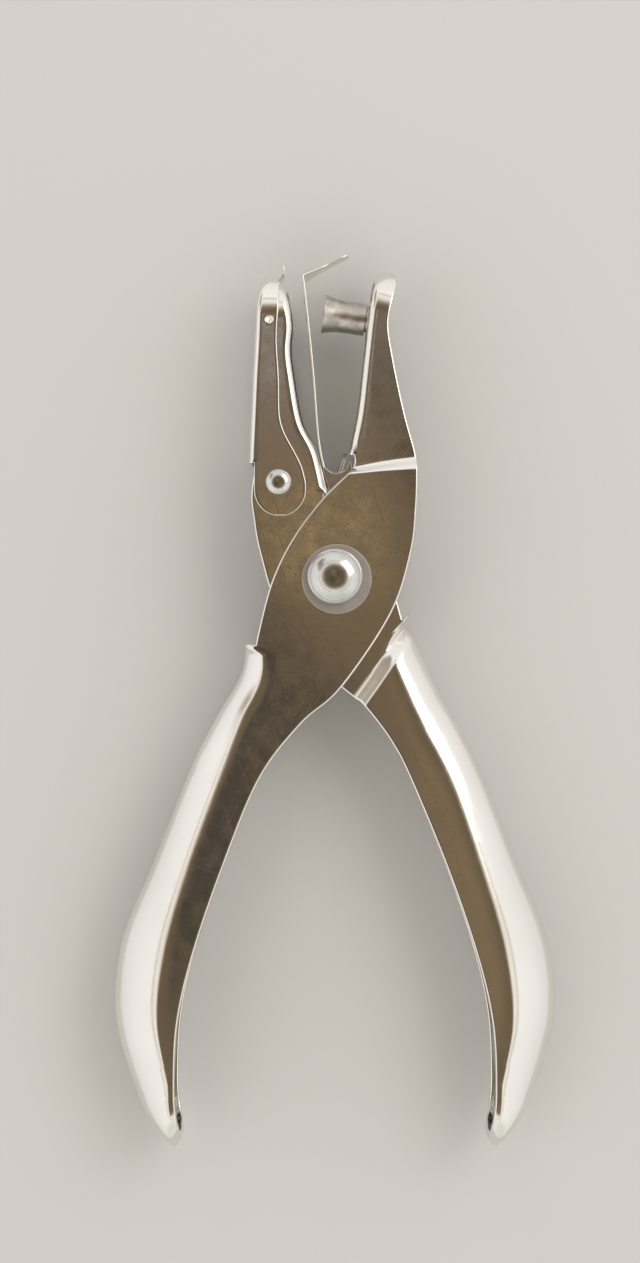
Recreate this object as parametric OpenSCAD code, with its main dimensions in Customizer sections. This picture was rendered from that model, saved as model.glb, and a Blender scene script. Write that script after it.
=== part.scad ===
// Single hole punch: two crossed sheet-metal levers on a rivet, a punch pin, a die and a clip holder.
// Lies flat, +Z up. The origin is on the pivot axis, at the flat back head of the main rivet.

/* [Levers] */
// Distance from the pin's axis to the tips of the jaws
jaw_end = 7.1; // [6:0.1:9]
// Distance from the pivot to the tips of the handles
handle_reach = 91.2; // [80:0.1:105]
// Distance from the centre line to the widest point of each handle
handle_spread = 35.2; // [30:0.1:40]
// Outside width of the jaws, across their flanges
jaw_w = 12; // [11:0.1:15]
// Thickness of the lever sheet
sheet = 1; // [0.8:0.05:1.2]
// Side clearance between the nested levers
nest_clear = 0.15; // [0.1:0.01:0.3]
// Outside bend radius along the jaws
jaw_bend = 1.3; // [1.2:0.1:1.8]
// Outside bend radius at the widest point of the handles
handle_bend = 5.6; // [4:0.1:6]
// Rounding of the closed jaw tips, seen from the side
jaw_tip_round = 4; // [2:0.1:4.5]
// Rounding of the handle tips, seen from the side
handle_tip_round = 5.5; // [3:0.1:6]

/* [Punch and die] */
// Diameter of the cutting end, and so of the punched hole
punch_d = 6.35; // [5:0.05:7]
// Diameter of the pin behind its cutting end
pin_body_d = 5.1; // [4:0.1:5.2]
// Diameter of the riveted shank in the jaw
pin_shank_d = 3.8; // [3:0.1:4]
// Distance of the pin's axis from the pivot
pin_arm = 41.6; // [38:0.1:46]
// Slope of the pin's axis with the jaws open
pin_tilt = 8.5; // [7:0.1:9]
// Length of the pin from the jaw's web to its cutting end
pin_len = 7; // [6:0.1:7.5]
// Distance that the cutting end goes past the face of the die
overtravel = 2; // [1.2:0.1:2]
// Radial clearance of the cutting end in the die
die_clear = 0.12; // [0.08:0.01:0.2]

/* [Pivot] */
// Diameter of the main rivet's shank
rivet_d = 5; // [4:0.1:5.6]
// Diameter of the main rivet's two heads
rivet_head_d = 8.9; // [8:0.1:10]
// Height of the domed front head
dome_h = 2.9; // [2:0.1:3.5]
// Height of the flat back head
back_head_h = 1.5; // [1:0.1:2]
// Radial running clearance of the levers on the rivet
pivot_clear = 0.06; // [0.03:0.01:0.1]
// Diameter of the washer under the dome
washer_d = 11; // [10.4:0.1:12]
// Thickness of the washer
washer_t = 0.4; // [0.3:0.05:0.6]
// Play of the washer on the rivet, which it lies to one side of
washer_play = 0.5; // [0.2:0.05:0.6]
// Wall of the spacer sleeve
sleeve_wall = 0.7; // [0.5:0.1:1]

/* [Return spring] */
// Diameter of the spring wire
wire_d = 0.65; // [0.5:0.05:0.7]
// Number of curls round the sleeve
spring_curls = 5; // [3:1:5]
// Free gap between two curls
curl_gap = 0.45; // [0.42:0.01:0.5]

/* [Stripper] */
// Thickness of the stripper strip
strip_t = 0.4; // [0.3:0.05:0.5]
// Clearance of the ears inside the die lever
ear_clear = 0.3; // [0.2:0.05:0.4]
// Radial clearance of the cutting end in the stripper
strip_hole_clear = 0.5; // [0.4:0.05:0.6]
// Length of the sloping guide lip at the top of the strip
lip_len = 8.2; // [6:0.1:9]

/* [Clip holder] */
// Thickness of the holder's sheet
holder_t = 0.5; // [0.4:0.05:0.6]
// Side clearance of the holder on the die jaw
holder_clear = 0.12; // [0.1:0.01:0.2]
// Outside bend radius of the holder
holder_bend = 0.9; // [0.8:0.1:1.2]
// Distance of the holder's rivets to the left of the pivot
hinge_left = 8.96; // [8.5:0.05:9.4]
// Distance of the holder's rivets above the pivot
hinge_up = 15; // [14.8:0.1:15.6]
// Diameter of the holder rivets' domes
hinge_head_d = 4; // [3.5:0.1:4.4]
// Height of the holder rivets' domes
hinge_head_h = 1; // [0.6:0.1:1.4]
// Diameter of the holder rivets' shanks
hinge_shank_d = 2; // [1.6:0.1:2.4]

/* [Hidden] */
$fn = 64;

// Half widths, measured from the middle plane of the tool
inner_half = jaw_w / 2;
outer_half = inner_half + nest_clear + sheet;
ear_half = inner_half - sheet - ear_clear;
holder_half = inner_half + holder_clear + holder_t;

// Heights
face_clear = 0.05;
mid_z = back_head_h + face_clear + outer_half;
washer_z = outer_half + face_clear;
dome_z = washer_z + washer_t + face_clear;
through = 4 * outer_half;

// Bores and shafts on the pivot
pivot_bore_r = rivet_d / 2 + pivot_clear;
sleeve_r = pivot_bore_r + sleeve_wall;
sleeve_half = ear_half - strip_t - face_clear;

// Jaws and clip holder
jaw_reach = pin_arm + jaw_end;
hinge = [-hinge_left, hinge_up];
die_r = punch_d / 2 + die_clear;

// Sampling of the curved sheet
row_steps = 2;
bend_steps = 5;
least_bend = 0.2;
bend_share = 0.9;

// Interpolation

function unit(v) = v / norm(v);
function mixed(a, b, f) = a + (b - a) * f;
function spline_at(p, i, f) =
    let (n = len(p) - 1)
    let (a = p[max(i - 1, 0)], b = p[i], c = p[min(i + 1, n)], d = p[min(i + 2, n)])
    let (bend = 2 * a - 5 * b + 4 * c - d, twist = 3 * b - a - 3 * c + d)
    (2 * b + (c - a) * f + bend * f * f + twist * f * f * f) / 2;
function spline(p, steps) =
    [for (i = [0 : len(p) - 2], k = [0 : steps - 1]) spline_at(p, i, k / steps), p[len(p) - 1]];

// A bent channel is a list of rows [web x, web y, edge x, edge y, half width, bend radius].
// Each row is one cross-section, from the web's outside to the free edge of the two flanges.

function row_between(rows, i, f) =
    let (p = spline_at(rows, i, f), a = rows[i], b = rows[i + 1], ease = f * f * (3 - 2 * f))
    [p[0], p[1], p[2], p[3], mixed(a[4], b[4], ease), mixed(a[5], b[5], f)];
function fine_rows(rows, steps) =
    let (last = len(rows) - 1)
    [for (i = [0 : last - 1], k = [0 : steps - 1]) row_between(rows, i, k / steps), rows[last]];
function middle(s) = [s[0] + s[2], s[1] + s[3]] / 2;
function edge_side(s) = [s[2] - s[0], s[3] - s[1]];
function apart(s, e) = norm(middle(s) - middle(e));
function rounded(half, d, r) = d >= r ? half : half - r + sqrt(r * r - (r - d) * (r - d));

// Moves the inside of a row off the closed end of the channel by the wall thickness
function end_shift(st, i, t) =
    let (n = len(st) - 1, first = apart(st[i], st[0]), last = apart(st[i], st[n]))
    first < 2 * t ? unit(middle(st[1]) - middle(st[0])) * (t - first / 2) :
    last < 2 * t ? unit(middle(st[n - 1]) - middle(st[n])) * (t - last / 2) : [0, 0];

function bend_profile(w, half, bend, inset) =
    let (h = half - inset, r = max(bend - inset, least_bend))
    let (top = [[w, h], for (j = [0 : bend_steps]) let (a = 90 * j / bend_steps)
        [inset + r * (1 - sin(a)), h - r * (1 - cos(a))]])
    concat(top, [for (j = [len(top) - 1 : -1 : 0]) [top[j][0], -top[j][1]]]);

function row_ring(s, inset, shift) =
    let (web = [s[0], s[1]], edge = [s[2], s[3]], w = norm(edge - web), along = (edge - web) / w)
    [for (q = bend_profile(w, s[4], min(s[5], bend_share * w), inset))
        let (p = web + along * q[0] + shift) [p[0], p[1], q[1]]];

function ends_rounded(st, first_round, last_round) =
    let (n = len(st) - 1)
    [for (s = st)
        let (first = rounded(s[4], apart(s, st[0]), first_round))
        let (last = rounded(s[4], apart(s, st[n]), last_round))
        [s[0], s[1], s[2], s[3], min(first, last), s[5]]];

// One closed sheet with an end wall at both ends
module channel(rows, t, first_round, last_round) {
    st = ends_rounded(fine_rows(rows, row_steps), first_round, last_round);
    n = len(st) - 1;
    m = 2 * (bend_steps + 2);
    inside = (n + 1) * m;
    outer = [for (i = [0 : n]) each row_ring(st[i], 0, [0, 0])];
    inner = [for (i = [0 : n]) each row_ring(st[i], t, end_shift(st, i, t))];
    walls = [for (i = [0 : n - 1], k = [0 : m - 2], f = let (a = i * m + k, b = a + m)
        [[a, a + 1, b], [a + 1, b + 1, b],
         [inside + a, inside + b, inside + a + 1], [inside + a + 1, inside + b, inside + b + 1]]) f];
    edges = [for (i = [0 : n - 1], f = let (a = i * m, b = a + m, c = a + m - 1, d = b + m - 1)
        [[a, b, inside + a], [b, inside + b, inside + a],
         [c, inside + c, d], [d, inside + c, inside + d]]) f];
    caps = [for (k = [1 : m - 2], f = let (z = n * m)
        [[0, k + 1, k], [inside, inside + k, inside + k + 1],
         [z, z + k, z + k + 1], [inside + z, inside + z + k + 1, inside + z + k]]) f];
    rims = let (z = n * m, e = m - 1)
        [[0, inside, e], [inside, inside + e, e],
         [z, z + e, inside + z], [inside + z, z + e, inside + z + e]];
    faces = concat(walls, edges, caps, rims);
    web_on_left = cross(edge_side(st[0]), middle(st[1]) - middle(st[0])) < 0;
    polyhedron(concat(outer, inner), web_on_left ? [for (f = faces) [f[2], f[1], f[0]]] : faces);
}

// A handle's rows, from the pivot to the tip. Places are shares of the spread and the reach.
function handle_row(side, s) =
    let (across = side * handle_spread, along = -handle_reach)
    [across * s[0], along * s[1], across * s[2], along * s[3], outer_half, handle_bend * s[4]];
handle_shape = [
    [0.645, 0.327, 0.341, 0.353, 0.75],
    [0.82, 0.495, 0.511, 0.513, 0.92],
    [0.971, 0.64, 0.642, 0.663, 1],
    [0.995, 0.776, 0.708, 0.778, 1.05],
    [0.884, 0.915, 0.722, 0.89, 1.1],
    [0.792, 0.969, 0.712, 0.942, 1.1],
    [0.722, 1, 0.69, 0.98, 1.1]];
function handle_rows(side) = [for (s = handle_shape) handle_row(side, s)];

// A jaw's rows, from the tip to the pivot. Heights are shares of the jaw's reach.
function jaw_row(s) = [s[0], jaw_reach * s[1], s[2], jaw_reach * s[3], inner_half, jaw_bend];

// Punch lever: its jaw steps out over the die lever between the last jaw row and the first neck row
jaw_root = 0.397;
jaw_root_x = 1.95;
punch_jaw_shape = [
    [7.2, 1, 9.6, 0.998],
    [6.35, 0.977, 9.9, 0.964],
    [5.8, 0.94, 9.45, 0.92],
    [5.1, 0.835, 8.55, 0.825],
    [4.4, 0.705, 9.4, 0.7],
    [3.5, 0.54, 11.1, 0.535],
    [2.6, 0.445, 12.5, 0.43],
    [jaw_root_x, jaw_root, 12.95, jaw_root]];
neck_bend = 2;
punch_step_bend = 1.5;
punch_neck = [
    [1.3, 17.3, 13.1, 17.6, outer_half, punch_step_bend],
    [-5.5, 13.2, 12.95, 11.5, outer_half, punch_step_bend],
    [-12, 4, 12.1, 4, outer_half, neck_bend],
    [-14, -5.5, 8.9, -5.8, outer_half, neck_bend],
    [-14.6, -14.5, 1, -17.6, outer_half, 2.5],
    [-18.6, -21.8, -5.4, -23.4, outer_half, 3.3]];
function punch_rows() =
    concat([for (s = punch_jaw_shape) jaw_row(s)], punch_neck, handle_rows(-1));

// Free edge of the punch lever's flanges, where its web is cut away at the pivot between two heights
web_stub = 0.15;
punch_web_ends = [jaw_reach * jaw_root - web_stub, -10.6];
punch_edge = [
    [3, 19.2], [2.6, 17], [-1.94, 12.4], [-6.65, 6.1], [-10.1, -1], [-12.3, -9.4], [-12.6, -12]];
window_reach = 24;

// Die lever: its neck steps out to the handle along a slanting line
die_jaw_shape = [
    [-8.8, 0.974, -10.9, 0.972],
    [-7.95, 0.954, -11.25, 0.941],
    [-7.25, 0.914, -11.1, 0.896],
    [-6.62, 0.823, -11, 0.813],
    [-6.85, 0.74, -11.1, 0.735],
    [-6.4, 0.656, -11.3, 0.651],
    [-5.1, 0.506, -11.8, 0.506],
    [-2.75, 0.406, -12.4, 0.392],
    [-1.2, 0.279, -13.3, 0.274]];
die_neck = [
    [0.2, 10.2, -13, 9.6, inner_half, jaw_bend],
    [8.5, 7, -12, 4, inner_half, neck_bend],
    [12.8, -0.5, -9, -5.4, inner_half, neck_bend],
    [12.2, -5.2, -3, -14, inner_half, neck_bend],
    [11.2, -7.6, 2.9, -19.2, inner_half, neck_bend],
    [12.7, -9.8, 4.8, -20.7, outer_half, 2.2],
    [16.4, -17.8, 8.8, -26, outer_half, 3.2]];
function die_rows() =
    concat([for (s = die_jaw_shape) jaw_row(s)], die_neck, handle_rows(1));
die_web_ends = [13, -7.4];
die_edge = [
    [-2.8, 13.4], [-2.3, 11.6], [-0.7, 9.9], [4.6, 5.4], [8.6, -0.5], [10.5, -6], [11, -8.5]];

// Where the pin's axis meets the web of the punch jaw, and where the cutting end is on that axis
function web_point(s) = [s[0], s[1]];
function web_on_axis(st, tilt) =
    let (across = [sin(tilt), cos(tilt)], along = [-cos(tilt), sin(tilt)])
    [for (i = [0 : len(st) - 2])
        let (a = web_point(st[i]), b = web_point(st[i + 1]))
        let (from = a * across - pin_arm, to = b * across - pin_arm)
        if (from >= 0 && to < 0) mixed(a * along, b * along, from / (from - to))][0];
pin_root = web_on_axis(fine_rows(punch_rows(), row_steps), pin_tilt);
pin_tip = pin_root + pin_len;

// The cutting end moves on a circle round the pivot. Angles on it are counted from +Y.
tip_arm = norm([pin_arm, pin_tip]);
tip_open = atan2(pin_tip, pin_arm) - pin_tilt;
function web_on_circle(st, r) =
    [for (i = [0 : len(st) - 2])
        let (a = web_point(st[i]), b = web_point(st[i + 1]))
        let (from = norm(a) - r, to = norm(b) - r)
        if (from >= 0 && to < 0) mixed(a, b, from / (from - to))][0];
die_face = web_on_circle(fine_rows(die_rows(), row_steps), tip_arm);
die_angle = atan2(-die_face[0], die_face[1]);
close_angle = die_angle - tip_open + asin(overtravel / tip_arm);
echo(close_angle = close_angle);

// Cuts the web away between two heights, outside the flanges' free edge
module pivot_window(edge, ends, side) {
    curve = [for (p = spline(edge, 3)) if (p[1] <= ends[0] && p[1] >= ends[1]) p];
    outside = side * window_reach;
    translate([0, 0, -through / 2])
        linear_extrude(through)
            polygon(concat([[outside, ends[0]], [curve[0][0], ends[0]]], curve,
                [[curve[len(curve) - 1][0], ends[1]], [outside, ends[1]]]));
}

// Puts its children on the pin's axis, turned by an angle, with +Z towards the cutting end
module on_pin_axis(tilt) {
    rotate([0, 0, -tilt])
        translate([0, pin_arm, 0])
            rotate([0, -90, 0])
                children();
}

module pivot_bore() {
    cylinder(h = through, r = pivot_bore_r, center = true);
}

module punch_lever() {
    color("#8a7a62")
        translate([0, 0, mid_z])
            difference() {
                channel(punch_rows(), sheet, jaw_tip_round, handle_tip_round);
                pivot_window(punch_edge, punch_web_ends, -1);
                pivot_bore();
                on_pin_axis(pin_tilt)
                    cylinder(h = 2 * pin_tip, r = pin_shank_d / 2 + face_clear, center = true);
            }
}

module die_lever() {
    color("#94856c")
        translate([0, 0, mid_z])
            difference() {
                channel(die_rows(), sheet, jaw_tip_round, handle_tip_round);
                pivot_window(die_edge, die_web_ends, 1);
                pivot_bore();
                rotate([0, 0, die_angle])
                    translate([0, tip_arm, 0])
                        rotate([0, 90, 0])
                            cylinder(h = 4 * sheet, r = die_r, center = true);
                translate([hinge[0], hinge[1], 0])
                    cylinder(h = through, r = hinge_shank_d / 2 + face_clear, center = true);
            }
}

// Turned pin: riveted head, shank, body and a hollow flare up to the cutting end
pin_lean = 0.2;
pin_head_h = 0.9;
pin_head_rim = 0.7;
pin_head_d = pin_shank_d + 2 * pin_head_rim;
pin_hollow = 0.5;
hollow_edge = 0.25;
flare_len = 3.2;
module punch_pin() {
    body_r = pin_body_d / 2;
    tip_r = punch_d / 2;
    hollow_r = (pow(tip_r - hollow_edge, 2) + pin_hollow * pin_hollow) / (2 * pin_hollow);
    seat = pin_root + pin_lean;
    back = pin_root - sheet - pin_lean;
    flare = [for (k = [0 : 6]) let (f = k / 6)
        [body_r + (tip_r - body_r) * f * f, pin_tip - flare_len * (1 - f)]];
    color("#77716a")
        translate([0, 0, mid_z])
            on_pin_axis(pin_tilt)
                difference() {
                    rotate_extrude()
                        polygon(concat([[0, back - pin_head_h], [pin_head_d / 2, back - pin_head_h],
                            [pin_head_d / 2, back], [pin_shank_d / 2, back], [pin_shank_d / 2, seat],
                            [body_r, seat]], flare, [[0, pin_tip]]));
                    translate([0, 0, pin_tip + hollow_r - pin_hollow])
                        sphere(r = hollow_r);
                }
}

// Stripper: a strip from the guide lip down the throat, folded into two ears on the pivot
strip_line = [[-5.1, 0.985 * jaw_reach], [-4.35, 0.852 * jaw_reach], [-3.4, 0.656 * jaw_reach],
    [-2.65, 0.46 * jaw_reach], [-1.8, 0.362 * jaw_reach], [-0.75, 0.294 * jaw_reach]];
lip_slope = 26.7;
lip_end = strip_line[0] + lip_len * [cos(lip_slope), sin(lip_slope)];
strip_hole_rise = 0.4;
ear_rim = 1.4;
ear_r = sleeve_r + ear_rim;
ear_shape = [
    [-4.2, 1.5], [-0.7, 13], [-1.9, 17.4], [-0.6, 16.6], [0.9, 16.6], [1.9, 17.2], [2.5, 18.2],
    [3.5, 12], [4.3, 1.5]];
strip_hole_y = pin_arm + strip_hole_rise;

function thick_line(p, t) =
    let (n = len(p) - 1)
    let (along = [for (i = [0 : n]) unit(p[min(i + 1, n)] - p[max(i - 1, 0)])])
    let (side = [for (d = along) [-d[1], d[0]] * t / 2])
    concat([for (i = [0 : n]) p[i] + side[i]], [for (i = [n : -1 : 0]) p[i] - side[i]]);

module ear() {
    linear_extrude(strip_t)
        difference() {
            union() {
                circle(r = ear_r);
                polygon(ear_shape);
            }
            circle(r = pivot_bore_r);
        }
}

module stripper() {
    color("#b9ad98")
        translate([0, 0, mid_z])
            union() {
                difference() {
                    translate([0, 0, -ear_half])
                        linear_extrude(2 * ear_half)
                            polygon(thick_line(concat([lip_end], spline(strip_line, 3)), strip_t));
                    translate([-jaw_reach / 4, strip_hole_y, 0])
                        rotate([0, 90, 0])
                            cylinder(h = jaw_reach / 4, r = punch_d / 2 + strip_hole_clear);
                }
                translate([0, 0, ear_half - strip_t])
                    ear();
                translate([0, 0, -ear_half])
                    ear();
            }
}

// A spherical cap of a given base diameter and height, standing on z = 0
module dome(d, h) {
    r = (d * d / 4 + h * h) / (2 * h);
    intersection() {
        translate([0, 0, h - r])
            sphere(r = r);
        cylinder(h = h + 1, r = d / 2);
    }
}

module main_rivet() {
    color("#d8d6d0")
        translate([0, 0, mid_z])
            union() {
                translate([0, 0, dome_z])
                    dome(rivet_head_d, dome_h);
                translate([0, 0, -mid_z])
                    cylinder(h = back_head_h, r = rivet_head_d / 2);
                translate([0, 0, -mid_z])
                    cylinder(h = mid_z + dome_z + dome_h / 2, r = rivet_d / 2);
            }
}

washer_side = -55;
module pivot_washer() {
    bore_r = rivet_d / 2 + washer_play + face_clear;
    color("#9c9484")
        translate([washer_play * cos(washer_side), washer_play * sin(washer_side), mid_z + washer_z])
            difference() {
                cylinder(h = washer_t, r = washer_d / 2);
                translate([0, 0, -washer_t])
                    cylinder(h = 3 * washer_t, r = bore_r);
            }
}

module pivot_sleeve() {
    color("#a8a49a")
        translate([0, 0, mid_z - sleeve_half])
            difference() {
                cylinder(h = 2 * sleeve_half, r = sleeve_r);
                translate([0, 0, -sleeve_half])
                    cylinder(h = 4 * sleeve_half, r = pivot_bore_r);
            }
}

// Torsion spring: a leg to the punch jaw's web, the curls, and a leg to the stripper
coil_clear = 0.3;
coil_r = sleeve_r + wire_d / 2 + coil_clear;
pitch = wire_d + curl_gap;
rings_per_curl = 8;
wire_sides = 6;
punch_leg = [jaw_root_x - wire_d / 2 - face_clear, punch_web_ends[0] + wire_d / 4];
die_leg = [-0.85, 0.353 * jaw_reach];
hook_half = inner_half - sheet - face_clear;
hook_bend = 1.4 * wire_d;
// Angle at which a straight leg to a point leaves the coil, on the right (1) or the left (-1)
function leaving(p, side) = atan2(p[1], p[0]) - side * acos(coil_r / norm(p));
coil_from = leaving(punch_leg, -1);
coil_to = leaving(die_leg, 1) + 360 * spring_curls;
coil_half = pitch * (coil_to - coil_from) / 720;
function coil_at(a, z) = [coil_r * cos(a), coil_r * sin(a), z];
function spring_path() =
    let (steps = ceil((coil_to - coil_from) / 360 * rings_per_curl))
    let (coil = [for (k = [0 : steps]) let (f = k / steps)
        coil_at(mixed(coil_from, coil_to, f), mixed(coil_half, -coil_half, f))])
    let (hook = [for (z = [hook_half, coil_half + hook_bend]) [punch_leg[0], punch_leg[1], z]])
    let (start = [punch_leg[0], punch_leg[1], coil_half], end = [die_leg[0], die_leg[1], -coil_half])
    concat(hook, [for (f = [0.25, 0.5, 0.75]) mixed(start, coil[0], f)], coil,
        [for (f = [0.35, 0.7, 1]) mixed(coil[steps], end, f)]);

// One unbroken tube along a path, turned as little as it can be from ring to ring
function along_path(p, i) = unit(p[min(i + 1, len(p) - 1)] - p[max(i - 1, 0)]);
function next_side(p, side, i) =
    let (d = along_path(p, i), flat = side - d * (side * d)) unit(flat);
function path_sides(p, side, i) =
    i == len(p) ? [] : let (s = next_side(p, side, i)) concat([s], path_sides(p, s, i + 1));

module tube(p, d, sides) {
    n = len(p) - 1;
    side = path_sides(p, [1, 0.3, 0.2], 0);
    points = [for (i = [0 : n], k = [0 : sides - 1])
        let (a = 360 * k / sides, up = cross(along_path(p, i), side[i]))
        p[i] + (side[i] * cos(a) + up * sin(a)) * d / 2];
    skin = [for (i = [0 : n - 1], k = [0 : sides - 1], f = let (a = i * sides + k)
        let (b = i * sides + (k + 1) % sides)
        [[a, a + sides, b], [b, a + sides, b + sides]]) f];
    caps = [for (k = [1 : sides - 2], f = let (z = n * sides) [[0, k, k + 1], [z, z + k + 1, z + k]]) f];
    polyhedron(points, concat(skin, caps));
}

// Least gap of the wire to itself, between points at least most of a curl apart
function self_gap(p) = min([for (i = [0 : len(p) - 1], j = [0 : len(p) - 1])
    if (j > i + rings_per_curl / 2) norm(p[i] - p[j])]) - wire_d;
echo(least_gap_of_the_spring_to_itself = self_gap(spring_path()));

module return_spring() {
    color("#b5b1a8")
        translate([0, 0, mid_z])
            tube(spring_path(), wire_d, wire_sides);
}

// Clip holder: a thin channel outside the die jaw, with a closed top, a finger lip and round feet
holder_shape = [
    [-11.2, 0.986, -9.1, 0.984],
    [-12, 0.957, -8.85, 0.953],
    [-12.45, 0.89, -8.96, 0.89],
    [-12.7, 0.774, -9.25, 0.774],
    [-13.05, 0.646, -8.9, 0.646],
    [-13.35, 0.505, -8.6, 0.505],
    [-13.6, 0.392, -6.4, 0.406],
    [-13.7, 0.294, -4.3, 0.333],
    [-13.7, 0.118, -3.9, 0.118]];
foot_rise = 2.9;
foot_r = 4.1;
foot_side = 0.25;
foot_drop = 1.3;
foot_lead = 1;
holder_foot_top = hinge_up + foot_rise;
finger_lip = [[-9.3, 0], [-8.6, 0.15], [-8.25, 0.9], [-8.3, 2.2]];
function holder_row(s) =
    [s[0], jaw_reach * s[1], s[2], jaw_reach * s[3], holder_half, holder_bend];

module foot_outline() {
    left = hinge[0] + foot_side - foot_r;
    right = hinge[0] + foot_side + foot_r;
    translate([hinge[0] + foot_side, hinge[1]])
        circle(r = foot_r);
    translate([hinge[0] + foot_side, hinge[1] - foot_drop])
        circle(r = foot_r);
    polygon([[left, hinge[1] - foot_drop], [right, hinge[1] - foot_drop], [right, hinge[1]],
        [right - foot_lead, holder_foot_top + foot_lead], [left, holder_foot_top + foot_lead]]);
}

module chip_holder() {
    lip_base = jaw_reach * holder_shape[0][3] - holder_t / 2;
    lip_half = holder_half - jaw_tip_round - holder_t;
    color("#857863")
        translate([0, 0, mid_z])
            union() {
                difference() {
                    channel([for (s = holder_shape) holder_row(s)], holder_t, jaw_tip_round, 0);
                    translate([0, 0, -through / 2])
                        linear_extrude(through)
                            difference() {
                                translate([hinge[0] - 2 * foot_r, hinge[1] - 4 * foot_r])
                                    square([4 * foot_r, 4 * foot_r + holder_foot_top - hinge[1]]);
                                foot_outline();
                            }
                    translate([hinge[0], hinge[1], 0])
                        cylinder(h = through, r = hinge_shank_d / 2 + pivot_clear, center = true);
                }
                translate([0, lip_base, -lip_half])
                    linear_extrude(2 * lip_half)
                        polygon(thick_line(spline(finger_lip, 3), holder_t));
            }
}

module chip_holder_rivets() {
    inside = inner_half - sheet;
    head_z = holder_half + face_clear;
    color("#d8d6d0")
        translate([hinge[0], hinge[1], mid_z])
            for (side = [0, 1])
                mirror([0, 0, side])
                    union() {
                        translate([0, 0, head_z])
                            dome(hinge_head_d, hinge_head_h);
                        translate([0, 0, inside])
                            cylinder(h = head_z - inside + hinge_head_h / 2, r = hinge_shank_d / 2);
                    }
}

punch_lever();
die_lever();
punch_pin();
stripper();
main_rivet();
pivot_washer();
pivot_sleeve();
return_spring();
chip_holder();
chip_holder_rivets();
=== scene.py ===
"""Single hole punch: polished sheet-metal levers, a turned pin, rivets and a clip holder."""

import math

import bmesh
import bpy
from mathutils import Matrix, Vector


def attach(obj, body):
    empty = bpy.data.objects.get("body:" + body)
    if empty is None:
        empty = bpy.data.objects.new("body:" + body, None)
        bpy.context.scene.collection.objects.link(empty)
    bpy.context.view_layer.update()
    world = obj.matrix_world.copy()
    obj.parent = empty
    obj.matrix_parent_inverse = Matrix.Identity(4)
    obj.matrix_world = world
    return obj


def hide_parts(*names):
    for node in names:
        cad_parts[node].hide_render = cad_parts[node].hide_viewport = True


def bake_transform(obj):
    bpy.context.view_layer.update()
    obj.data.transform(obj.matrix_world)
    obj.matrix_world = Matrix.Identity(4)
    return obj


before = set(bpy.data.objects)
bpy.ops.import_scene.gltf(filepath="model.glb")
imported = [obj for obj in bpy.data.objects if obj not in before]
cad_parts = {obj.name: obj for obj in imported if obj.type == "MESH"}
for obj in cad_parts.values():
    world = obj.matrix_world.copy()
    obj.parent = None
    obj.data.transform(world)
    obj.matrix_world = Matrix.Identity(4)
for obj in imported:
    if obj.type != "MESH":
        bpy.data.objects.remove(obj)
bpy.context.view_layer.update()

# Sizes in millimetres, most of them as in the part's source

MM = 0.001
SHEET = 1.0
INNER_HALF = 6.0
OUTER_HALF = 7.15
EAR_HALF = 4.7
HOLDER_HALF = 6.62
MID_Z = 8.7
JAW_REACH = 48.7
JAW_BEND = 1.3
HANDLE_REACH = 91.2
HANDLE_SPREAD = 35.2
HANDLE_FLANGE = 5.4
HANDLE_CREASE = math.radians(14)
JAW_TIP_ROUND = 4.0
JAW_TIP_LEN = 6.6
HANDLE_TIP_ROUND = 5.5
PIVOT_BORE_R = 2.56
FACE_CLEAR = 0.05

PIN_ARM = 41.6
PIN_TILT = math.radians(8.5)
PIN_LEN = 7.0
PUNCH_R = 3.175
PIN_BODY_R = 2.55
PIN_SHANK_R = 1.9
DIE_R = 3.295

HINGE = Vector((-8.96, 15.0))
HINGE_SHANK_R = 1.0
HOLDER_SHEET = 0.5
HOLDER_BEND = 0.9
STRIP_T = 0.4

# Sampling and edge rounding of the meshes

ROW_SPACING = 0.5
ROW_ROOM = 0.8 * ROW_SPACING
CURVE_STEPS = 8
BEND_STEPS = 12
CROWN_STEPS = 4
BORE_STEPS = 64
NEAR_ZERO = 1e-6
MERGE_DISTANCE = 1e-4
EDGE_ROUND = 0.3
ROUND_STEPS = 4
SHARP_ANGLE = math.radians(34)
ROUNDED_ANGLE = math.radians(50)
NORMAL_WEIGHT = 60
TUBE_SIDE = Vector((1, 0.3, 0.2))

# Bends, steps and crowns of the sheets

STEP_EASE = 0.07
STEP_BOW = 0.45
BEND_HOLD = 0.7
CROWN_WIDTH = 3.0
CROWN_FALL = 0.12
CROWN_RUN = 8.0
TIP_BEND = 0.45
LEAST_SPLIT = 0.45
SPLIT_BEND = 0.85
CURVE_BACK = 3


# Small geometry helpers

def spline_point(points, i, f):
    """A point on the Catmull-Rom curve through points, after point i."""
    last = len(points) - 1
    a, b = points[max(i - 1, 0)], points[i]
    c, d = points[min(i + 1, last)], points[min(i + 2, last)]
    bend = 2 * a - 5 * b + 4 * c - d
    twist = 3 * b - a - 3 * c + d
    return (2 * b + (c - a) * f + bend * f * f + twist * f * f * f) / 2


def spline(points, steps):
    """The curve through points, with a number of steps in each stretch."""
    points = [Vector(p) for p in points]
    curve = [spline_point(points, i, k / steps) for i in range(len(points) - 1) for k in range(steps)]
    return curve + [points[-1]]


def mixed(a, b, f):
    return a + (b - a) * f


def eased(way):
    """The share of a step's rise that is reached after a share of its length."""
    way = min(max(way, 0), 1)
    return way - STEP_EASE * math.sin(2 * math.pi * way)


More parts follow.
